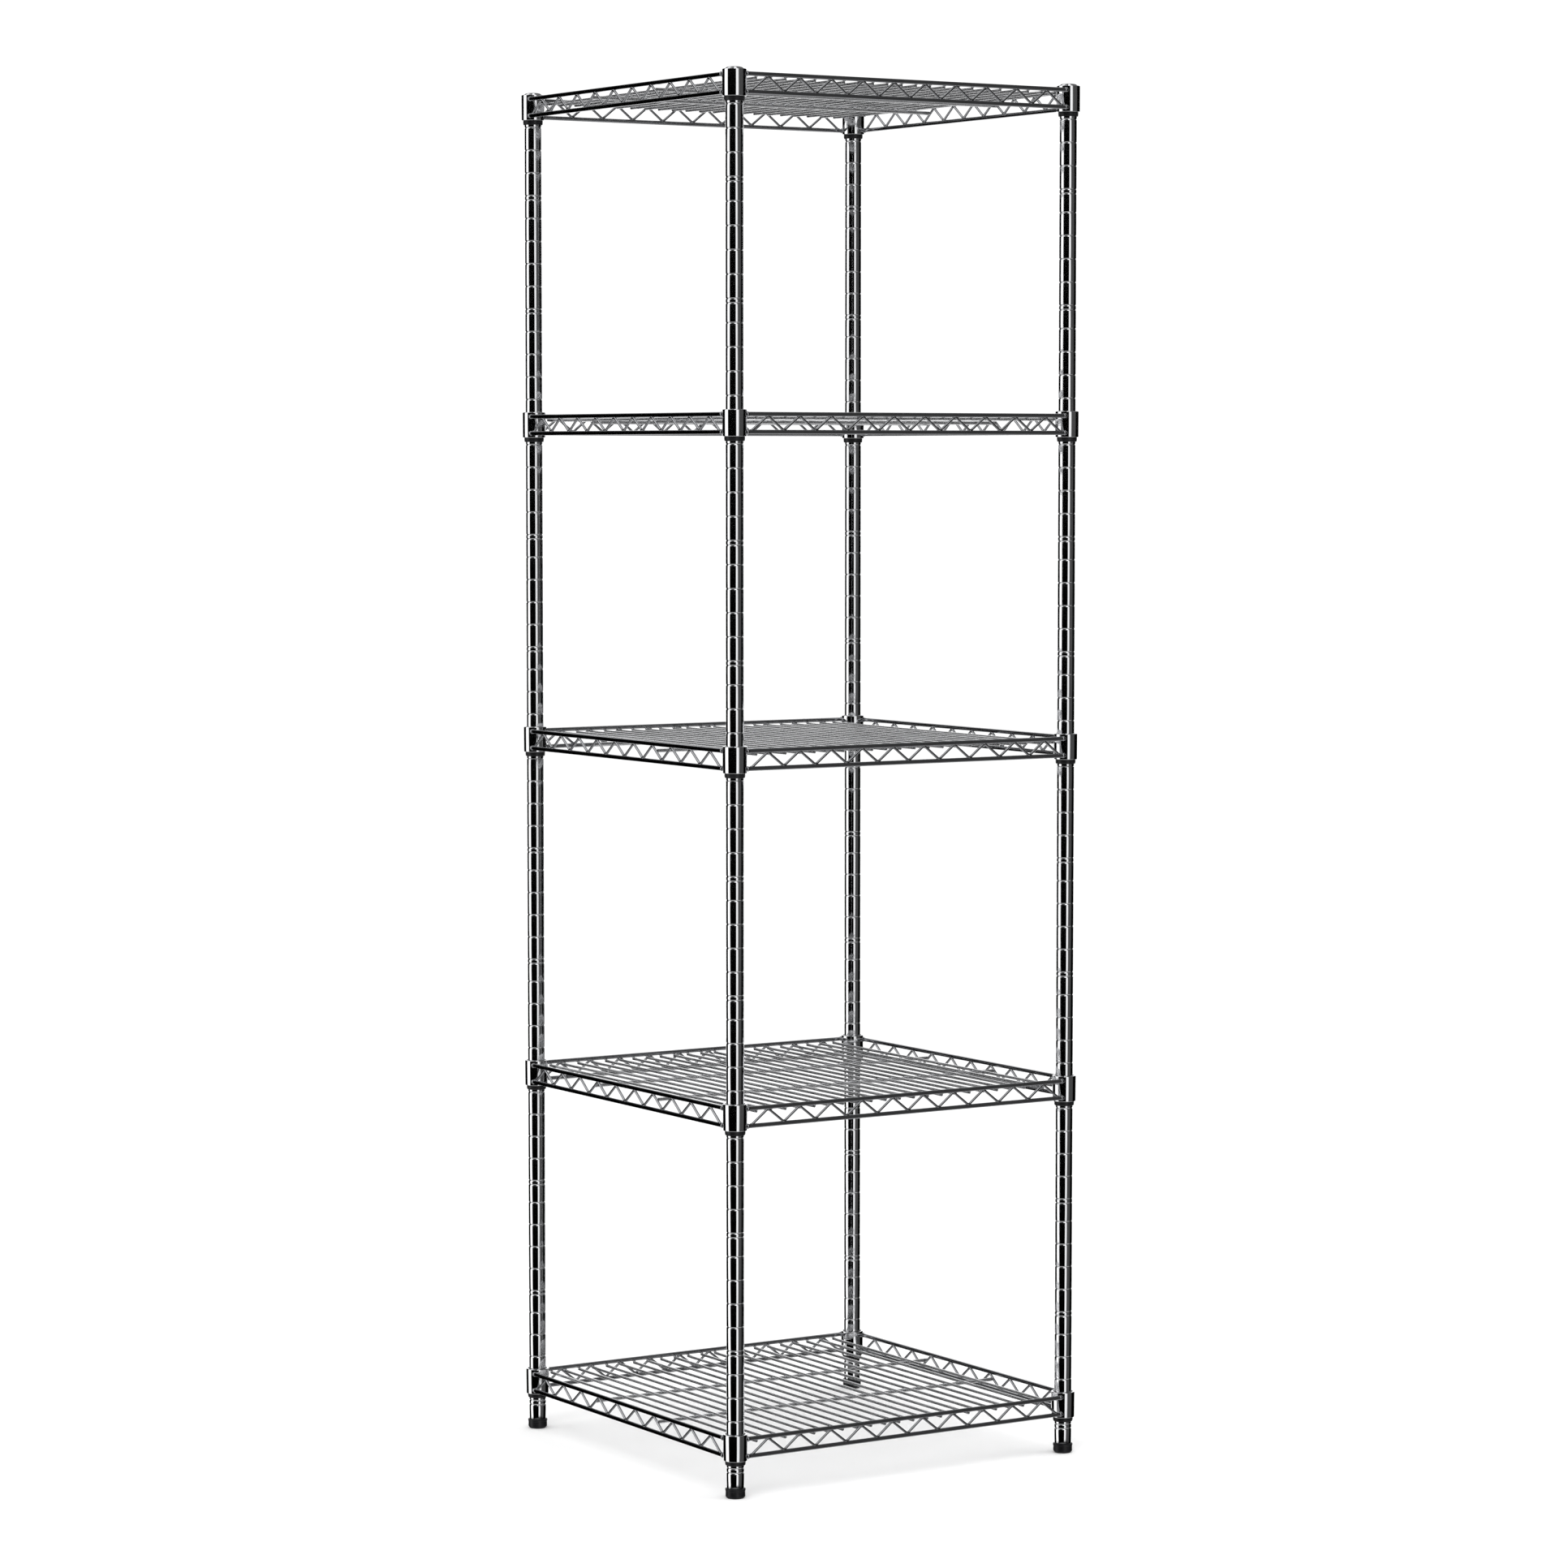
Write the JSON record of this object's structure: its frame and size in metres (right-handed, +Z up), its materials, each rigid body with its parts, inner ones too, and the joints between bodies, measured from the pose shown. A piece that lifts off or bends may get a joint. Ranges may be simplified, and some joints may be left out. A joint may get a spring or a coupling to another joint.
{
  "type": "wire shelving rack",
  "caption": "Free-standing square wire shelving rack: chrome tube posts carry welded wire shelves on tapered split sleeves, with levelling feet.",
  "frame": {"origin": "on the floor, in the middle of the footprint", "axes": "+Z up along the posts, +Y towards the rear, +X to the right; the deck wires run along Y"},
  "size_m": [0.45, 0.45, 1.4961],
  "materials": {
    "chrome": "bright polished chrome plate on steel tube and rod",
    "deck_chrome": "bright chrome plate on drawn wire",
    "cap_chrome": "polished metal-plated plastic",
    "zinc_steel": "zinc-plated threaded steel",
    "black_plastic": "moulded black plastic, semi-matt"
  },
  "bodies": {
    "posts": {"post_lower_front_left": "chrome", "post_lower_front_right": "chrome", "post_lower_rear_left": "chrome", "post_lower_rear_right": "chrome", "post_upper_front_left": "chrome", "post_upper_front_right": "chrome", "post_upper_rear_left": "chrome", "post_upper_rear_right": "chrome", "post_stud_front_left": "zinc_steel", "post_stud_front_right": "zinc_steel", "post_stud_rear_left": "zinc_steel", "post_stud_rear_right": "zinc_steel", "post_cap_front_left": "cap_chrome", "post_cap_front_right": "cap_chrome", "post_cap_rear_left": "cap_chrome", "post_cap_rear_right": "cap_chrome", "foot_insert_front_left": "black_plastic", "foot_insert_front_right": "black_plastic", "foot_insert_rear_left": "black_plastic", "foot_insert_rear_right": "black_plastic", "sleeve_1_front_left": "black_plastic", "sleeve_1_front_right": "black_plastic", "sleeve_1_rear_left": "black_plastic", "sleeve_1_rear_right": "black_plastic", "sleeve_2_front_left": "black_plastic", "sleeve_2_front_right": "black_plastic", "sleeve_2_rear_left": "black_plastic", "sleeve_2_rear_right": "black_plastic", "sleeve_3_front_left": "black_plastic", "sleeve_3_front_right": "black_plastic", "sleeve_3_rear_left": "black_plastic", "sleeve_3_rear_right": "black_plastic", "sleeve_4_front_left": "black_plastic", "sleeve_4_front_right": "black_plastic", "sleeve_4_rear_left": "black_plastic", "sleeve_4_rear_right": "black_plastic", "sleeve_5_front_left": "black_plastic", "sleeve_5_front_right": "black_plastic", "sleeve_5_rear_left": "black_plastic", "sleeve_5_rear_right": "black_plastic"},
    "shelf_1": {"shelf_1_frame": "chrome", "shelf_1_deck": "deck_chrome"},
    "shelf_2": {"shelf_2_frame": "chrome", "shelf_2_deck": "deck_chrome"},
    "shelf_3": {"shelf_3_frame": "chrome", "shelf_3_deck": "deck_chrome"},
    "shelf_4": {"shelf_4_frame": "chrome", "shelf_4_deck": "deck_chrome"},
    "shelf_5": {"shelf_5_frame": "chrome", "shelf_5_deck": "deck_chrome"},
    "foot_front_left": {"foot_pad_front_left": "black_plastic"},
    "foot_screw_front_left": {"foot_stem_front_left": "zinc_steel"},
    "foot_front_right": {"foot_pad_front_right": "black_plastic"},
    "foot_screw_front_right": {"foot_stem_front_right": "zinc_steel"},
    "foot_rear_left": {"foot_pad_rear_left": "black_plastic"},
    "foot_screw_rear_left": {"foot_stem_rear_left": "zinc_steel"},
    "foot_rear_right": {"foot_pad_rear_right": "black_plastic"},
    "foot_screw_rear_right": {"foot_stem_rear_right": "zinc_steel"}
  },
  "joints": [
    {"name": "shelf_1_lift", "type": "slide", "parent": "posts", "child": "shelf_1", "axis": [0, 0, 1], "range_m": [0, 0.3]},
    {"name": "shelf_2_lift", "type": "slide", "parent": "posts", "child": "shelf_2", "axis": [0, 0, 1], "range_m": [0, 0.325]},
    {"name": "shelf_3_lift", "type": "slide", "parent": "posts", "child": "shelf_3", "axis": [0, 0, 1], "range_m": [0, 0.3]},
    {"name": "shelf_4_lift", "type": "slide", "parent": "posts", "child": "shelf_4", "axis": [0, 0, 1], "range_m": [0, 0.3]},
    {"name": "shelf_5_lift", "type": "slide", "parent": "posts", "child": "shelf_5", "axis": [0, 0, 1], "range_m": [0, 0.06]},
    {"name": "foot_level_front_left", "type": "slide", "parent": "posts", "child": "foot_front_left", "axis": [0, 0, -1], "range_m": [0, 0.012]},
    {"name": "foot_level_front_right", "type": "slide", "parent": "posts", "child": "foot_front_right", "axis": [0, 0, -1], "range_m": [0, 0.012]},
    {"name": "foot_level_rear_left", "type": "slide", "parent": "posts", "child": "foot_rear_left", "axis": [0, 0, -1], "range_m": [0, 0.012]},
    {"name": "foot_level_rear_right", "type": "slide", "parent": "posts", "child": "foot_rear_right", "axis": [0, 0, -1], "range_m": [0, 0.012]},
    {"name": "foot_turn_front_left", "type": "hinge", "parent": "foot_front_left", "child": "foot_screw_front_left", "pos_m": [-0.212, -0.212, 0.02], "axis": [0, 0, -1], "range_deg": [0, 3460]},
    {"name": "foot_turn_front_right", "type": "hinge", "parent": "foot_front_right", "child": "foot_screw_front_right", "pos_m": [0.212, -0.212, 0.02], "axis": [0, 0, -1], "range_deg": [0, 3460]},
    {"name": "foot_turn_rear_left", "type": "hinge", "parent": "foot_rear_left", "child": "foot_screw_rear_left", "pos_m": [-0.212, 0.212, 0.02], "axis": [0, 0, -1], "range_deg": [0, 3460]},
    {"name": "foot_turn_rear_right", "type": "hinge", "parent": "foot_rear_right", "child": "foot_screw_rear_right", "pos_m": [0.212, 0.212, 0.02], "axis": [0, 0, -1], "range_deg": [0, 3460]}
  ],
  "couplings": [
    {"joint": "foot_turn_front_left", "follows": "foot_level_front_left", "rad_per_m": 5026.5},
    {"joint": "foot_turn_front_right", "follows": "foot_level_front_right", "rad_per_m": 5026.5},
    {"joint": "foot_turn_rear_left", "follows": "foot_level_rear_left", "rad_per_m": 5026.5},
    {"joint": "foot_turn_rear_right", "follows": "foot_level_rear_right", "rad_per_m": 5026.5}
  ]
}
